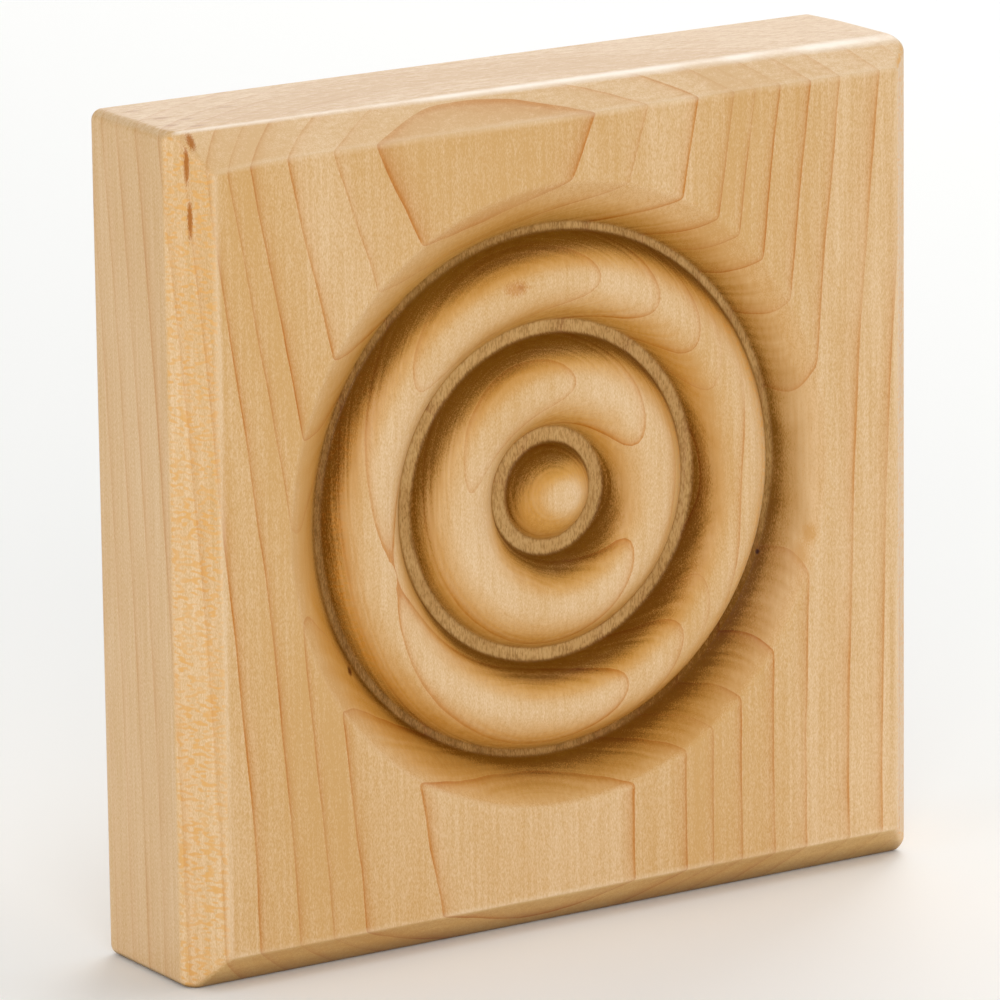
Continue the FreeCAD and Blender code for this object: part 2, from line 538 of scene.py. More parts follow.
# How squarely the surface faces the pith: 1 on a flat-sawn face, 0 on a quarter-sawn one
normal = add(wood, "ShaderNodeTexCoord", out="Normal")
looks = add(wood, "ShaderNodeSeparateXYZ", {0: normal}, out=slice(3))
normal_x, normal_z = looks[0], looks[2]
outwards = add(wood, "ShaderNodeCombineXYZ", {"X": pith_x, "Y": pith_y})
outwards_unit = add(wood, VECTOR, {0: outwards}, operation="NORMALIZE")
facing_pith = add(wood, VECTOR, {0: normal, 1: outwards_unit}, out="Value", operation="DOT_PRODUCT")
flat_sawn = add(wood, MATH, {0: facing_pith}, operation="ABSOLUTE")
flat_angle = add(wood, MATH, {0: flat_sawn}, operation="ARCCOSINE")
across_rings = add(wood, MATH, {0: flat_angle}, operation="SINE")
print(f"the pith runs {pith_ahead:.0f} mm in front of the face")

# %% [markdown]
# One ring is one year. It grows darker slowly and ends in a thin brown line, and the next one starts
# pale at once. The rings near the pith are listed one by one, as they stand in this board, and the
# outer ones follow at an even step. A curve turns the distance from the pith into a count of rings.
# A surface that slices along a ring would smear its line, so what is left of the year is measured
# along the surface, which keeps every line about as thin.

# %% Growth rings
ring_radii = [37.8, 40.1, 43.1, 45.8, 47.5, 49.5, 52.1, 54.8, 58.7, 61.9]
later_ring = 2.6
ring_low, ring_high = 30.0, 90.0
flattest_slice = 0.2
while ring_radii[-1] + later_ring < ring_high:
    ring_radii.append(ring_radii[-1] + later_ring)
ring_total = len(ring_radii)

ring_stops = [(0.0, 0.0)]
for number, radius in enumerate(ring_radii):
    ring_stops.append(((radius - ring_low) / (ring_high - ring_low), (number + 1) / (ring_total + 1)))
ring_stops.append((1.0, 1.0))
ring_share = add(wood, RANGE, {"Value": pith_distance, "From Min": ring_low, "From Max": ring_high})
ring_curve = add(wood, CURVE, {"Value": ring_share}, stops=ring_stops)
ring_count = add(wood, MATH, {0: ring_curve, 1: ring_total + 1.0}, operation="MULTIPLY")
ring_number = add(wood, MATH, {0: ring_count}, operation="FLOOR")
ring_part = add(wood, MATH, {0: ring_count, 1: ring_number}, operation="SUBTRACT")
year_left = add(wood, MATH, {0: 1.0, 1: ring_part}, operation="SUBTRACT")
slice_rate = add(wood, MATH, {0: across_rings, 1: flattest_slice}, operation="MAXIMUM")
year_end = add(wood, MATH, {0: year_left, 1: slice_rate}, operation="DIVIDE")
year = [(0, 1), (0.05, 0.95), (0.11, 0.5), (0.28, 0.2), (0.55, 0.06), (0.85, 0), (1, 0)]
ring_shade = add(wood, CURVE, {"Value": year_end}, stops=year)
print(f"{ring_total} rings between {ring_radii[0]} and {ring_radii[-1]:.1f} mm from the pith")

# %% [markdown]
# No two rings are equally dark. Each has its own strength, drawn by its number, every line comes and
# goes along its way, and all are fainter on quarter-sawn wood and on the two upright sides.

# %% Strength of the rings
faintest_ring = 0.6
fade_lengths = (7, 7, 11)

ring_chance = add(wood, "ShaderNodeTexWhiteNoise", {"W": ring_number}, noise_dimensions="1D")
chance_part = {0: ring_chance, 1: 1 - faintest_ring, 2: faintest_ring}
ring_weight = add(wood, MATH, chance_part, operation="MULTIPLY_ADD")
fade_place = add(wood, VECTOR, {0: place_mm, 1: per_mm(fade_lengths)}, operation="MULTIPLY")
fade_noise = add(wood, NOISE, {"Vector": fade_place, "Scale": 1.0, "Detail": 1.0})
fade_range = {"From Min": 0.3, "From Max": 0.65, "To Min": 0.45, "To Max": 1.1}
fade = add(wood, RANGE, {"Value": fade_noise, **fade_range})
cut_range = {"From Min": 0.45, "From Max": 0.75, "To Min": 0.35, "To Max": 1.0}
cut = add(wood, RANGE, {"Value": flat_sawn, **cut_range})
side_looks = add(wood, MATH, {0: normal_x}, operation="ABSOLUTE")
side_range = {"From Min": 0.82, "From Max": 0.95, "To Min": 1.0, "To Max": 0.85}
side_faint = add(wood, RANGE, {"Value": side_looks, **side_range})
ring_lines = ring_shade
for part in (fade, cut, side_faint, ring_weight):
    ring_lines = add(wood, MATH, {0: ring_lines, 1: part}, operation="MULTIPLY")
print(f"the faintest ring has {faintest_ring} of the strongest one's strength")

# %% [markdown]
# Between the rings maple is never one colour. Its tone drifts between warm and pale with the age of
# the wood, broad soft bands follow the growth, and fibres and long faint lines run up the grain.
# The ends are rough, because the fibres were cut across there. Thin sheets of ray cells stand on edge
# all round the pith. They don't show on the flat face, but where a bevel or a side is sawn along them
# they open out into flocks of orange flecks. The flecks are one noise in the tree's own directions:
# round the pith, out from it and along it.

# %% Bands, rays and fibres
band_length = 1.3
cloud_lengths = (9, 9, 24)
ray_lengths = (0.95, 0.95, 0.34)
flock_length = 3.5
line_lengths = (0.35, 0.35, 14)
end_lengths = (1.3, 0.4, 1.0)
# Real fibres are far finer than a pixel, so these are drawn as coarse as they need to be to show
fibre_lengths = (0.09, 0.09, 0.3)

# How pale the wood is, by its distance from the pith
age_tones = [(36, 0.1), (39, 0.28), (41, 0.5), (43, 0.48), (46, 0.12), (50, 0.22), (56, 0.55), (63, 0.6)]
age_stops = [(0, age_tones[0][1])]
for radius, pale in age_tones:
    age_stops.append(((radius - ring_low) / (ring_high - ring_low), pale))
age_stops.append((1, age_tones[-1][1]))
sapwood = add(wood, CURVE, {"Value": ring_share}, stops=age_stops)
band_place = add(wood, MATH, {0: pith_distance, 1: 1 / band_length}, operation="MULTIPLY")
band = add(wood, NOISE, {"W": band_place, "Scale": 1.0, "Detail": 3.0}, noise_dimensions="1D")
cloud_place = add(wood, VECTOR, {0: place_mm, 1: per_mm(cloud_lengths)}, operation="MULTIPLY")
cloud = add(wood, NOISE, {"Vector": cloud_place, "Scale": 1.0, "Detail": 2.0})

# Rays, seen where the surface is quarter-sawn and isn't end grain
ray_place = add(wood, VECTOR, {0: tree_place, 1: per_mm(ray_lengths)}, operation="MULTIPLY")
ray_noise = add(wood, NOISE, {"Vector": ray_place, "Scale": 1.0, "Detail": 0.0})
ray = add(wood, RANGE, {"Value": ray_noise, "From Min": 0.5, "From Max": 0.63})
ray_range = {"From Min": 0.5, "From Max": 0.2, "To Min": 0.0, "To Max": 0.8}
ray_open = add(wood, RANGE, {"Value": flat_sawn, **ray_range})
flock_place = add(wood, VECTOR, {0: tree_place, "Scale": 1 / flock_length}, operation="SCALE")
flock_noise = add(wood, NOISE, {"Vector": flock_place, "Scale": 1.0, "Detail": 1.0})
flock = add(wood, RANGE, {"Value": flock_noise, "From Min": 0.35, "From Max": 0.6, "To Min": 0.55})
end_looks = add(wood, MATH, {0: normal_z}, operation="ABSOLUTE")
long_grain = add(wood, RANGE, {"Value": end_looks, "From Min": 0.75, "From Max": 0.4})
ray_side = add(wood, MATH, {0: ray_open, 1: long_grain}, operation="MULTIPLY")
ray_seen = add(wood, MATH, {0: ray, 1: ray_side}, operation="MULTIPLY")
ray_share = add(wood, MATH, {0: ray_seen, 1: flock}, operation="MULTIPLY")

# Fibres, long lines and rough end grain
fibre_place = add(wood, VECTOR, {0: place_mm, 1: per_mm(fibre_lengths)}, operation="MULTIPLY")
fibre = add(wood, NOISE, {"Vector": fibre_place, "Scale": 1.0, "Detail": 2.0})
line_place = add(wood, VECTOR, {0: place_mm, 1: per_mm(line_lengths)}, operation="MULTIPLY")
line_noise = add(wood, NOISE, {"Vector": line_place, "Scale": 1.0, "Detail": 1.0})
end_place = add(wood, VECTOR, {0: place_mm, 1: per_mm(end_lengths)}, operation="MULTIPLY")
end_noise = add(wood, NOISE, {"Vector": end_place, "Scale": 1.0, "Detail": 2.0, "Roughness": 0.65})
end_level = add(wood, MATH, {0: end_noise, 1: -0.5}, operation="ADD")
end_grain = add(wood, RANGE, {"Value": end_looks, "From Min": 0.6, "From Max": 0.9})
end_rough = add(wood, MATH, {0: end_level, 1: end_grain}, operation="MULTIPLY")
print(f"fibres {fibre_lengths[0]} mm thick, rays {ray_lengths[2]} mm high")

# %% [markdown]
# Cutter and lacquer stain the turning, and the same colours also paint the shade of its hollows.
# The cutter rubs hardest at the foot of each bead, where it leaves the wood burnt brown, and lacquer
# that gathers in the hollows turns them amber. Both follow the depth below the face, inside the lip
# only, so deeper points are painted darker. No stain is even: soft blotches, single fibres and
# streaks along the growth move its edge, so three noises are added to the depth.

# %% Depth of the stains and of the painted shade
turned_margin = 0.5
dish_start, dish_full = outer_groove[1] + 0.2, outer_groove[1] + 1.0
ring_in_turning = 0.75
stain_length = 5
streak_length = 0.35

axis_z = add(wood, MATH, {0: z, 1: -turning_rise}, operation="ADD")
axis_place = add(wood, "ShaderNodeCombineXYZ", {"X": x, "Z": axis_z})
axis_distance = add(wood, VECTOR, {0: axis_place}, out="Value", operation="LENGTH")
depth_share = add(wood, MATH, {0: behind_face, 1: groove_depth}, operation="DIVIDE")
inside_lip = add(wood, MATH, {0: axis_distance, 1: lip_radius + turned_margin}, operation="LESS_THAN")
outside_lip = add(wood, MATH, {0: 1.0, 1: inside_lip}, operation="SUBTRACT")
in_front = add(wood, MATH, {0: behind_face, 1: groove_depth + turned_margin}, operation="LESS_THAN")
turned = add(wood, MATH, {0: inside_lip, 1: in_front}, operation="MULTIPLY")
ring_keep = add(wood, MATH, {0: turned, 1: ring_in_turning - 1, 2: 1.0}, operation="MULTIPLY_ADD")
ring_dark = add(wood, MATH, {0: ring_lines, 1: ring_keep}, operation="MULTIPLY")
in_dish = add(wood, RANGE, {"Value": axis_distance, "From Min": dish_start, "From Max": dish_full})

stain_place = add(wood, VECTOR, {0: place_mm, "Scale": 1 / stain_length}, operation="SCALE")
stain_noise = add(wood, NOISE, {"Vector": stain_place, "Scale": 1.0, "Detail": 2.0})
grown_place = add(wood, MATH, {0: pith_distance, 1: 1 / streak_length}, operation="MULTIPLY")
grown = add(wood, NOISE, {"W": grown_place, "Scale": 1.0, "Detail": 2.0}, noise_dimensions="1D")
blotch_parts = [(stain_noise, 0.24), (fibre, 0.4), (grown, 0.2)]
blotch = -sum(weight for pattern, weight in blotch_parts) / 2
for pattern, weight in blotch_parts:
    blotch = add(wood, MATH, {0: pattern, 1: weight, 2: blotch}, operation="MULTIPLY_ADD")
below = add(wood, RANGE, {"Value": depth_share, "From Min": 0.08, "From Max": 0.25})
blotch_below = add(wood, MATH, {0: blotch, 1: below}, operation="MULTIPLY")
# The depth below the face sets both the stains and the painted shade of the hollows: deeper is darker
stain_and_shade_depth = add(wood, MATH, {0: depth_share, 1: blotch_below}, operation="ADD")
grown_part = add(wood, MATH, {0: grown, 1: 0.3, 2: 0.25}, operation="MULTIPLY_ADD")
grainy = add(wood, MATH, {0: fibre, 1: 1.2, 2: grown_part}, operation="MULTIPLY_ADD")
bead_area = add(wood, MATH, {0: turned, 1: in_dish}, operation="SUBTRACT", use_clamp=True)
crest = add(wood, MATH, {0: bead_area, 1: below}, operation="SUBTRACT", use_clamp=True)
print("stains follow the depth inside the lip")

# %% [markdown]
# The flat floors of the grooves were scraped clean and stay a greyer tan, cleanest along the middle
# of each groove and more so in some places than in others. The outer groove is so narrow that the
# scraper left most of its stain. Only its upper right came cleaner, and its lower right keeps its
# dark colour as painted shade.

# %% Clean floors
scrape_lengths = (0.15, 1.0, 0.5)
floor_spread = 0.25
floor_core = 0.3
outer_clean = 0.3
upper_right_clean = 0.5

scrape_place = add(wood, VECTOR, {0: place_mm, 1: per_mm(scrape_lengths)}, operation="MULTIPLY")
scrape_noise = add(wood, NOISE, {"Vector": scrape_place, "Scale": 1.0, "Detail": 1.0})
scrape_range = {"From Min": 0.35, "From Max": 0.6, "To Min": 0.45, "To Max": 1.0}
scrape = add(wood, RANGE, {"Value": scrape_noise, **scrape_range})
patch_range = {"From Min": 0.35, "From Max": 0.62, "To Min": 0.66, "To Max": 1.0}
floor_patch = add(wood, RANGE, {"Value": stain_noise, **patch_range})
scraped = add(wood, MATH, {0: scrape, 1: floor_patch}, operation="MULTIPLY")
floor_mask = 0.0
for inner_edge, outer_edge in (inner_groove, middle_groove, outer_groove):
    half_floor = (outer_edge - inner_edge) / 2
    off_middle = add(wood, MATH, {0: axis_distance, 1: inner_edge + half_floor}, operation="SUBTRACT")
    off_size = add(wood, MATH, {0: off_middle}, operation="ABSOLUTE")
    floor_range = {"From Min": half_floor + floor_spread, "From Max": half_floor - floor_core}
    floor_line = add(wood, RANGE, {"Value": off_size, **floor_range}, interpolation_type="SMOOTHSTEP")
    floor_mask = add(wood, MATH, {0: floor_line, 1: floor_mask}, operation="MAXIMUM")
floor_turned = add(wood, MATH, {0: floor_mask, 1: turned}, operation="MULTIPLY")
outer_range = {"From Min": middle_groove[1], "From Max": outer_groove[0], "To Min": 1.0}
outer_less = add(wood, RANGE, {"Value": axis_distance, **outer_range, "To Max": outer_clean})
to_upper_right = add(wood, MATH, {0: z, 1: 0.8, 2: x}, operation="MULTIPLY_ADD")
upper_range = {"From Min": 14.0, "From Max": 28.0, "To Max": upper_right_clean}
upper_right = add(wood, RANGE, {"Value": to_upper_right, **upper_range})
# Painted shade: the outer floor keeps its dark colour towards its lower right
to_lower_right = add(wood, MATH, {0: z, 1: -0.5, 2: x}, operation="MULTIPLY_ADD")
right_shade_range = {"From Min": 18.0, "From Max": 25.0, "To Max": outer_clean}
right_shade = add(wood, RANGE, {"Value": to_lower_right, **right_shade_range})
left_clean = add(wood, MATH, {0: outer_less, 1: right_shade}, operation="SUBTRACT")
floor_bare = add(wood, MATH, {0: left_clean, 1: upper_right}, operation="ADD", use_clamp=True)
floor_clean = add(wood, MATH, {0: floor_turned, 1: floor_bare}, operation="MULTIPLY")
floor_share = add(wood, MATH, {0: floor_clean, 1: scraped}, operation="MULTIPLY")
stain_and_shade_area = add(wood, MATH, {0: turned, 1: floor_share}, operation="SUBTRACT", use_clamp=True)
print("three floors scraped")

# %% [markdown]
# How a flank faces changes how much amber and burn it gets: flanks that look up get more than those
# that look down, and flanks that look right, towards the light, get the least of both, which is
# painted light. Curves turn the depth, with that lean, into an amount of amber and of burn, partly
# stain and partly painted shade. The beads and the dish have their own curves, since the stain of
# the dish fades out towards the lip.

# %% Amber and burn, with painted shade
amber_lean = 0.95
look_down = -0.25
burn_lean = 0.5
dish_lean = 0.42
right_lit_amber = -0.5
right_lit_burn = -0.45
right_lit_dish_burn = -0.9
button_more = 0.25

# Painted light: flanks that look right, towards the light, get less amber and burn
looks_right = add(wood, MATH, {0: normal_x, 1: 0.0}, operation="MAXIMUM")
little_lift = add(wood, MATH, {0: normal_z, 1: look_down}, operation="MULTIPLY")
lift = add(wood, MATH, {0: normal_z, 1: little_lift}, operation="MAXIMUM")
button_range = {"From Min": inner_groove[1], "From Max": button_radius, "To Max": button_more}
on_button = add(wood, RANGE, {"Value": axis_distance, **button_range})
button_below = add(wood, MATH, {0: on_button, 1: below}, operation="MULTIPLY")
amber_and_shade_depth = add(wood, MATH, {0: stain_and_shade_depth, 1: button_below}, operation="ADD")
amber_and_shade_level = add(wood, MATH, {0: lift, 1: amber_lean, 2: amber_and_shade_depth}, operation="MULTIPLY_ADD")
bead_level = add(wood, MATH, {0: looks_right, 1: right_lit_amber, 2: amber_and_shade_level}, operation="MULTIPLY_ADD")
off_crest = add(wood, RANGE, {"Value": depth_share, "From Min": 0.07, "From Max": 0.14})
bead_stops = [(0, 0), (0.1, 0), (0.21, 0.18), (0.47, 0.6), (0.8, 1), (1, 1)]
dish_stops = [(0, 0), (0.08, 0.08), (0.2, 0.2), (0.45, 0.4), (0.7, 0.7), (1, 1)]
bead_curve = add(wood, CURVE, {"Value": bead_level}, stops=bead_stops)
bead_amber_and_shade = add(wood, MATH, {0: bead_curve, 1: off_crest}, operation="MULTIPLY")
dish_curve = add(wood, CURVE, {"Value": amber_and_shade_level}, stops=dish_stops)
lip_fade = add(wood, RANGE, {"Value": depth_share, "From Min": 0.0, "From Max": 0.08})
dish_amber_and_shade = add(wood, MATH, {0: dish_curve, 1: lip_fade}, operation="MULTIPLY")
amber_and_shade_curve = add(wood, MIX, {0: in_dish, 2: bead_amber_and_shade, 3: dish_amber_and_shade})
amber_and_shade_grain = add(wood, MATH, {0: amber_and_shade_curve, 1: grainy}, operation="MULTIPLY")
amber_and_shade_share = add(wood, MATH, {0: amber_and_shade_grain, 1: turned}, operation="MULTIPLY", use_clamp=True)

# Burn and painted shade, which leave out the clean floors
burn_and_shade_base = add(wood, MATH, {0: looks_right, 1: right_lit_burn, 2: stain_and_shade_depth}, operation="MULTIPLY_ADD")
burn_and_shade_level = add(wood, MATH, {0: normal_z, 1: burn_lean, 2: burn_and_shade_base}, operation="MULTIPLY_ADD")
burn_and_shade_stops = [(0, 0), (0.38, 0), (0.52, 0.15), (0.7, 0.6), (0.82, 0.85), (1, 1)]
dish_burn_and_shade_stops = [(0, 0), (0.18, 0), (0.4, 0.12), (0.65, 0.32), (0.8, 0.52), (0.95, 0.8), (1, 0.9)]
bead_burn_and_shade = add(wood, CURVE, {"Value": burn_and_shade_level}, stops=burn_and_shade_stops)
dish_base = add(wood, MATH, {0: looks_right, 1: right_lit_dish_burn, 2: stain_and_shade_depth}, operation="MULTIPLY_ADD")
dish_level = add(wood, MATH, {0: normal_z, 1: dish_lean, 2: dish_base}, operation="MULTIPLY_ADD")
dish_burn_and_shade = add(wood, CURVE, {"Value": dish_level}, stops=dish_burn_and_shade_stops)
burn_and_shade_curve = add(wood, MIX, {0: in_dish, 2: bead_burn_and_shade, 3: dish_burn_and_shade})
burn_and_shade_grain = add(wood, MATH, {0: burn_and_shade_curve, 1: grainy}, operation="MULTIPLY")
burn_and_shade_share = add(wood, MATH, {0: burn_and_shade_grain, 1: stain_and_shade_area}, operation="MULTIPLY", use_clamp=True)
print("amber and burn ready for the beads and the dish")

# %% [markdown]
# A pale line is painted along the four edges of the face and along the top arris: a painted
# highlight, where the eased edges catch the light. The line is found in each side's own section: it
# is where the distance to the edge is small. The painted highlight on the top arris is wider towards
# its right end, where the arris is rounder, and the end grain of the top bevel, which faces up
# towards the light, is painted a little paler all over as a painted sheen.

# %% Painted highlights along the edges
highlight_reach, highlight_core = 0.6, 0.1
arris_reach, arris_core = 0.9, 0.2
arris_spread = 0.55
left_end, top_depth = bevels["top left"][:2]
right_end = bevels["top right"][0]
sections = {
    "left": (x, 1, width, bevels["left"][0]),
    "right": (x, -1, width, bevels["right"][0]),
    "bottom": (z, 1, height, bevels["bottom"][0]),
    "top": (z, -1, height, (left_end + right_end) / 2),
}
from_sides = {}
for side, (across_side, way, size, inset) in sections.items():
    from_sides[side] = add(wood, MATH, {0: across_side, 1: way, 2: size / 2}, operation="MULTIPLY_ADD")
arris_section = add(wood, "ShaderNodeCombineXYZ", {"X": from_sides["top"], "Y": behind_face})

# The top edge of the face follows the two ends of its bevel and the wear at the left
top_run = {0: x, 1: (left_end - right_end) / width, 2: from_sides["top"]}
top_level = add(wood, MATH, top_run, operation="MULTIPLY_ADD")
left_share = add(wood, RANGE, {"Value": x, "From Min": width / 2, "From Max": -width / 2})
left_wear = add(wood, MATH, {0: left_share, 1: wear_falloff}, operation="POWER")
from_sides["top"] = add(wood, MATH, {0: left_wear, 1: -corner_wear, 2: top_level}, operation="MULTIPLY_ADD")
edge_gap = width
for side, (across_side, way, size, inset) in sections.items():
    section = add(wood, "ShaderNodeCombineXYZ", {"X": from_sides[side], "Y": behind_face})
    gap = add(wood, VECTOR, {0: section, 1: (inset, 0, 0)}, out="Value", operation="DISTANCE")
    edge_gap = add(wood, MATH, {0: gap, 1: edge_gap}, operation="MINIMUM")
# Painted highlight: a pale line where the eased edges of the face catch the light
highlight_line = add(wood, RANGE, {"Value": edge_gap, "From Min": highlight_reach, "From Max": highlight_core})
highlighted = add(wood, MATH, {0: highlight_line, 1: fade}, operation="MULTIPLY", use_clamp=True)

# The painted highlight on the top arris and the painted sheen on the end grain of the top bevel
arris_at = (0, top_depth, 0)
# Painted highlight: a near-white line along the top arris, wider towards its right end
arris_gap = add(wood, VECTOR, {0: arris_section, 1: arris_at}, out="Value", operation="DISTANCE")
arris_wide = add(wood, MATH, {0: x, 1: 2 * arris_spread / width, 2: 1.0}, operation="MULTIPLY_ADD")
arris_near = add(wood, MATH, {0: arris_gap, 1: arris_wide}, operation="DIVIDE")
arris_line = add(wood, RANGE, {"Value": arris_near, "From Min": arris_reach, "From Max": arris_core})
arris_highlight = add(wood, MATH, {0: arris_line, 1: fade}, operation="MULTIPLY", use_clamp=True)
# Painted sheen: the top bevel, which faces up towards the light, is painted paler all over
leans_up = add(wood, RANGE, {"Value": normal_z, "From Min": 0.4, "From Max": 0.65})
not_top = add(wood, RANGE, {"Value": normal_z, "From Min": 0.97, "From Max": 0.85})
top_bevel = add(wood, MATH, {0: leans_up, 1: not_top}, operation="MULTIPLY")
bevel_sheen = add(wood, MATH, {0: top_bevel, 1: outside_lip}, operation="MULTIPLY")
print(f"{len(sections)} edges of the face and the top arris rubbed")

# %% [markdown]
# A few marks make this one block itself: three brown streaks at the top of the left bevel, small
# tears in the end grain of the top, a pin knot on the outer bead, a golden smudge of lacquer in the
# dish and two nicks beside the outer groove. They are too shallow to be worth modelling, so each is
# a small ellipsoid of colour in the wood, with an edge that the grain frays. The bottom bevel, which
# looks down, is darkened with painted shade, darkest at its lower edge.

# %% Marks and painted shade
# Each mark: its middle and its reach in millimetres, its colour and its strength
marks = [
    # Streaks
    ((-42.85, -16.75, 41.4), (0.32, 0.7, 3.4), streak_brown, 1.0),
    ((-42.7, -16.95, 35.7), (0.28, 0.7, 2.9), streak_brown, 1.0),
    ((-42.1, -16.4, 43.5), (0.7, 1.5, 1.9), streak_brown, 1.0),
    # Tears in the end grain
    ((-41.6, -4.0, 44.4), (1.3, 0.6, 0.3), streak_brown, 0.45),
    ((-41.0, -8.7, 44.4), (1.5, 0.7, 0.3), streak_brown, 0.6),
    ((-39.2, -10.6, 44.4), (1.6, 0.6, 0.3), streak_brown, 0.6),
    ((-42.0, -12.5, 44.4), (1.3, 0.6, 0.3), streak_brown, 0.6),
    ((-39.9, -14.2, 44.4), (1.6, 0.6, 0.3), streak_brown, 0.6),
    ((-32.9, -7.6, 44.4), (1.8, 0.8, 0.3), streak_brown, 0.4),
    # Pin knot
    ((-5.4, -18.7, 24.1), (2.3, 1.2, 1.3), knot_orange, 0.5),
    ((-4.9, -18.7, 24.2), (0.7, 1.0, 0.5), streak_brown, 0.5),
    # Smudge of lacquer
    ((30.8, -18.4, -6.9), (1.4, 1.4, 1.8), lacquer_gold, 0.6),
    ((29.9, -18.2, -8.9), (1.3, 1.4, 2.2), lacquer_gold, 0.45),
    # Nicks
    ((26.2, -15.5, -8.8), (0.33, 0.6, 0.4), nick_dark, 1.0),
    ((-24.6, -16.2, -13.8), (0.6, 0.7, 0.8), nick_dark, 0.9),
]
spot_edge, spot_core = 1.45, 1.0
# How far up from the bottom edge the painted shade reaches, and where it is full
shade_top, shade_full = 2.2, 0.3

frayed_grain = add(wood, MATH, {0: fibre, 1: 0.8}, operation="MULTIPLY")
frayed = add(wood, MATH, {0: stain_noise, 1: 0.5, 2: frayed_grain}, operation="MULTIPLY_ADD")
spots = []
for centre, spread, tint, strength in marks:
    shift = [-middle / size for middle, size in zip(centre, spread)]
    scaled = add(wood, VECTOR, {0: place_mm, 1: per_mm(spread), 2: shift}, operation="MULTIPLY_ADD")
    away = add(wood, VECTOR, {0: scaled}, out="Value", operation="LENGTH")
    ragged = add(wood, MATH, {0: away, 1: frayed}, operation="ADD")
    spot = add(wood, RANGE, {"Value": ragged, "From Min": spot_edge, "From Max": spot_core})
    spots.append((spot, tint, "MIX", strength))
# Painted shade: surfaces outside the lip that look down are darkened, most of all near the bottom edge
looks_down_shade = add(wood, RANGE, {"Value": normal_z, "From Min": -0.35, "From Max": -0.75})
bottom_shade = add(wood, MATH, {0: looks_down_shade, 1: outside_lip}, operation="MULTIPLY")
low_shade_range = {"From Min": shade_top - height / 2, "From Max": shade_full - height / 2}
low_shade = add(wood, RANGE, {"Value": z, **low_shade_range})
low_edge_shade = add(wood, MATH, {0: bottom_shade, 1: low_shade}, operation="MULTIPLY")
print(f"{len(marks)} marks")

# %% [markdown]
# The tone of the bare wood is a sum of its patterns, each with a weight, between a warm and a pale
# colour. Then the colours lie over one another: rays, the painted sheen of the top bevel, rings,
# marks, painted highlights along the edges, painted shade on the bottom bevel, amber and burn with
# the painted shade of the hollows, and clean floors. Stains and painted shade are multiplied in, so
# that the grain shows through them, and painted highlights, what lies on top and what was scraped
# bare are mixed in.

# %% Colour of the maple
tone_start = -1.89
tone_parts = [
    (cloud, 0.5), (band, 0.35), (fibre, 2.1), (line_noise, 0.7),
    (end_rough, 2.5), (ray_side, 0.15), (crest, 0.18),
]
tone_sum = tone_start
for pattern, weight in tone_parts:
    tone_sum = add(wood, MATH, {0: pattern, 1: weight, 2: tone_sum}, operation="MULTIPLY_ADD")
tone = add(wood, MATH, {0: tone_sum, 1: sapwood}, operation="ADD", use_clamp=True)
colour = add(wood, MIX, {0: tone, 6: maple_warm, 7: maple_pale}, out=2, data_type="RGBA")
# Each layer: where it lies, its colour, how it is blended in and its strength
layers = [
    (ray_share, ray_orange, "MIX", 1.0),
    # Painted sheen on the top bevel
    (bevel_sheen, painted_highlight_pale, "MIX", 0.15),
    (ring_dark, ring_brown, "MULTIPLY", 1.0),
    *spots,
    # Painted highlights along the edges of the face and the top arris
    (highlighted, painted_highlight_pale, "MIX", 0.28),
    (arris_highlight, arris_highlight_white, "MIX", 0.75),
    # Painted shade on the bottom bevel, darkest at its lower edge
    (bottom_shade, bottom_shade_brown, "MULTIPLY", 1.0),
    (low_edge_shade, burn_and_shade_brown, "MULTIPLY", 0.75),
    # Amber and burn: stain, and painted shade in the hollows
    (amber_and_shade_share, amber, "MULTIPLY", 1.0),
    (burn_and_shade_share, burn_and_shade_brown, "MULTIPLY", 1.0),
    (floor_share, floor_tan, "MIX", 0.85),
]
for share, tint, blend, strength in layers:
    amount = share
    if strength < 1:
        amount = add(wood, MATH, {0: share, 1: strength}, operation="MULTIPLY")
    colour = add(
        wood, MIX, {0: amount, 6: colour, 7: tint}, out=2, data_type="RGBA", blend_type=blend,
    )
print(f"{len(layers)} layers of colour")

# %% [markdown]
# Satin lacquer has a soft sheen, a little rougher with the fibres and duller where it soaked in and
# turned amber. The relief is slight, since the lacquer fills all but the finest grain, and it is
# deepest on the end grain.

# %% Gloss and relief of the maple
lacquer_ior = 1.48
satin_rough = 0.3
fibre_rough = 0.16
lacquer_gloss = 0.5
amber_dull = -0.42
fibre_relief = -0.6
end_relief = 4.0
relief_strength = 0.3
relief_depth = 0.02

end_part = add(wood, MATH, {0: end_rough, 1: end_relief}, operation="MULTIPLY")
relief = add(wood, MATH, {0: fibre, 1: fibre_relief, 2: end_part}, operation="MULTIPLY_ADD")
bump_sizes = {"Strength": relief_strength, "Distance": relief_depth * MM}
bumped = add(wood, "ShaderNodeBump", {"Height": relief, **bump_sizes})
roughness = add(wood, MATH, {0: fibre, 1: fibre_rough, 2: satin_rough}, operation="MULTIPLY_ADD")
gloss = add(wood, MATH, {0: amber_and_shade_share, 1: amber_dull, 2: lacquer_gloss}, operation="MULTIPLY_ADD")
shader = add(
    wood, "ShaderNodeBsdfPrincipled",
    {
        "Base Color": colour, "Roughness": roughness, "IOR": lacquer_ior,
        "Specular IOR Level": gloss, "Normal": bumped,
    },
)
add(wood, "ShaderNodeOutputMaterial", {"Surface": shader}, out=slice(0))
print(f"{len(wood.nodes)} nodes in the maple")

# %% [markdown]
# Now the rows become points of a small mesh, the tree walks them round the block, and the result is
# turned into a plain mesh that rides on the frame in place of the plain solid. The mesh takes its
# lengths in metres and counts depth from the back.

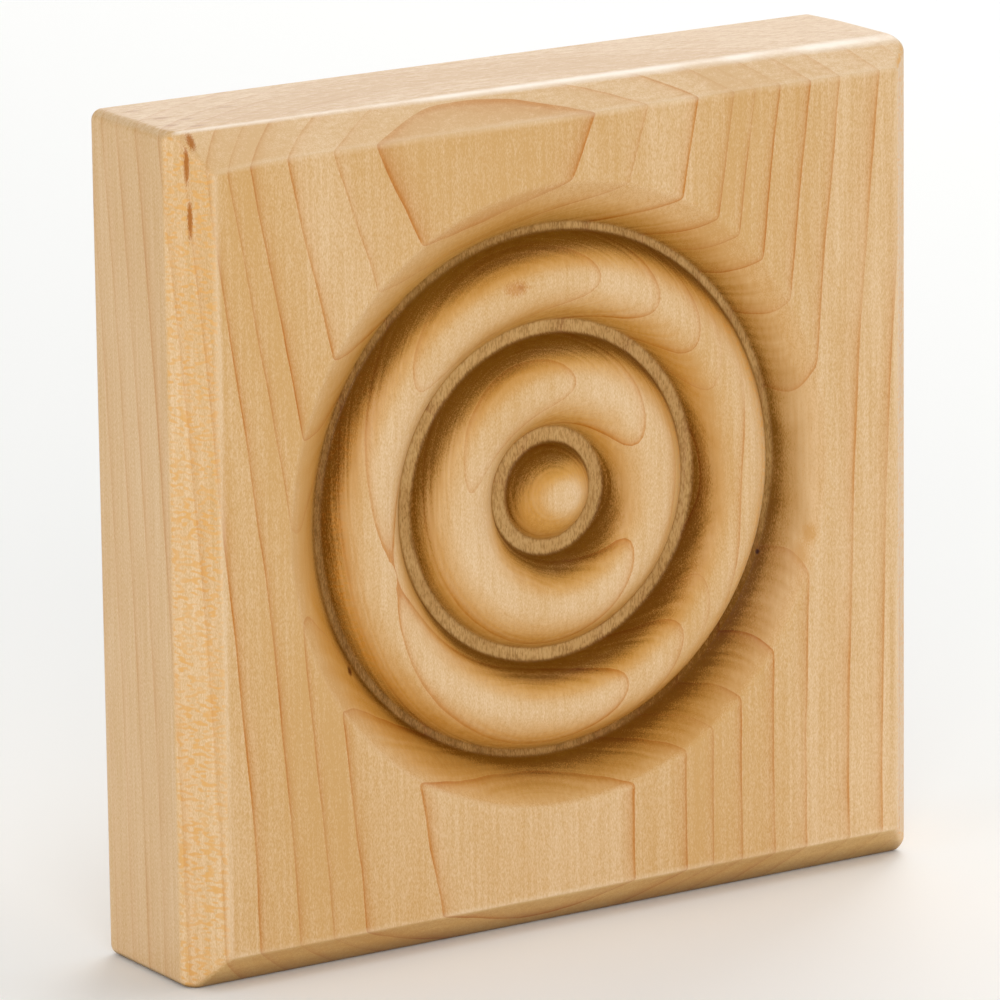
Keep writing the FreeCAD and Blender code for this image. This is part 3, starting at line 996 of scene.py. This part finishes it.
# %% The block
row_mesh = bpy.data.meshes.new("rows")
row_mesh.vertices.add(len(rows))
for name in names:
    values = [entry[name] for entry in rows]
    if name == "depth":
        values = [value - thickness for value in values]
    scale = 1.0 if name == "square" else MM
    attribute = row_mesh.attributes.new(name, "FLOAT", "POINT")
    attribute.data.foreach_set("value", [value * scale for value in values])
row_object = bpy.data.objects.new("rows", row_mesh)
bpy.context.scene.collection.objects.link(row_object)
walker = row_object.modifiers.new("skin", "NODES")
walker.node_group = skin
for name, value in sizes.items():
    walker[sockets[name].identifier] = value
walker[sockets["Finish"].identifier] = maple
evaluated = row_object.evaluated_get(bpy.context.evaluated_depsgraph_get())
block_mesh = bpy.data.meshes.new_from_object(evaluated)
bpy.data.objects.remove(row_object)
block = bpy.data.objects.new("rosette_block_maple", block_mesh)
bpy.context.scene.collection.objects.link(block)
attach(block, "root")
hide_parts("rosette_block")
triangles = sum(len(polygon.vertices) - 2 for polygon in block_mesh.polygons)
print(f"block has {len(block_mesh.vertices)} points and {triangles} triangles")

# %% [markdown]
# The block stands on a plain pale floor, as on a sheet of paper in a small studio. One large plane
# does for it, since its edges are far away.

# %% Floor
floor_reach = 6000
floor_mesh = bpy.data.meshes.new("floor")
corners = [(-1, -1), (1, -1), (1, 1), (-1, 1)]
floor_points = [(floor_reach * MM * across, floor_reach * MM * along, low.z) for across, along in corners]
floor_mesh.from_pydata(floor_points, [], [(0, 1, 2, 3)])
floor = bpy.data.objects.new("floor", floor_mesh)
bpy.context.scene.collection.objects.link(floor)

# Matt white paper: an even, pale ground without shine
paper_white = linear("#FAFAF8")
paper_rough = 0.9
paper = bpy.data.materials.new("matt_white_paper")
paper.use_nodes = True
paper_shader = paper.node_tree.nodes["Principled BSDF"]
paper_shader.inputs["Base Color"].default_value = paper_white
paper_shader.inputs["Roughness"].default_value = paper_rough
floor_mesh.materials.append(paper)
print(f"floor at {low.z / MM:.2f} mm")

# %% [markdown]
# Light comes from six large lamps that all look at the block. The key, the brightest, stands behind
# the camera and above it. One lamp on each side and one above fill the shadows, and two behind the
# block put a sheen on the end grain of its top and a bright line on its top arris. A white sky keeps
# the paper pale.

# %% Lamps
# Each lamp: its place and its size in millimetres, and its power in watts
lamps = {
    "key": ((-620, -1140, 430), 700, 6.55),
    "sheen": ((690, 1095, 360), 900, 3.1),
    "arris": ((620, 560, 880), 500, 3.2),
    "top": ((600, -160, 1020), 800, 2.8),
    "left": ((-1150, -150, 260), 800, 2.8),
    "right": ((1050, -600, 200), 700, 2.4),
}
sky_white = linear("#FFFFFF")
sky_strength = 0.45
for name, (lamp_place, size, power) in lamps.items():
    lamp = bpy.data.objects.new(name, bpy.data.lights.new(name, "AREA"))
    lamp.data.size = size * MM
    lamp.data.energy = power
    lamp.location = Vector(lamp_place) * MM
    lamp.rotation_mode = "QUATERNION"
    lamp.rotation_quaternion = (-lamp.location).to_track_quat("-Z", "Y")
    bpy.context.scene.collection.objects.link(lamp)
sky = bpy.data.worlds.new("studio")
sky.use_nodes = True
sky.node_tree.nodes["Background"].inputs["Color"].default_value = sky_white
sky.node_tree.nodes["Background"].inputs["Strength"].default_value = sky_strength
bpy.context.scene.world = sky
bpy.context.scene.view_settings.view_transform = "Standard"
print(f"{len(lamps)} lamps")
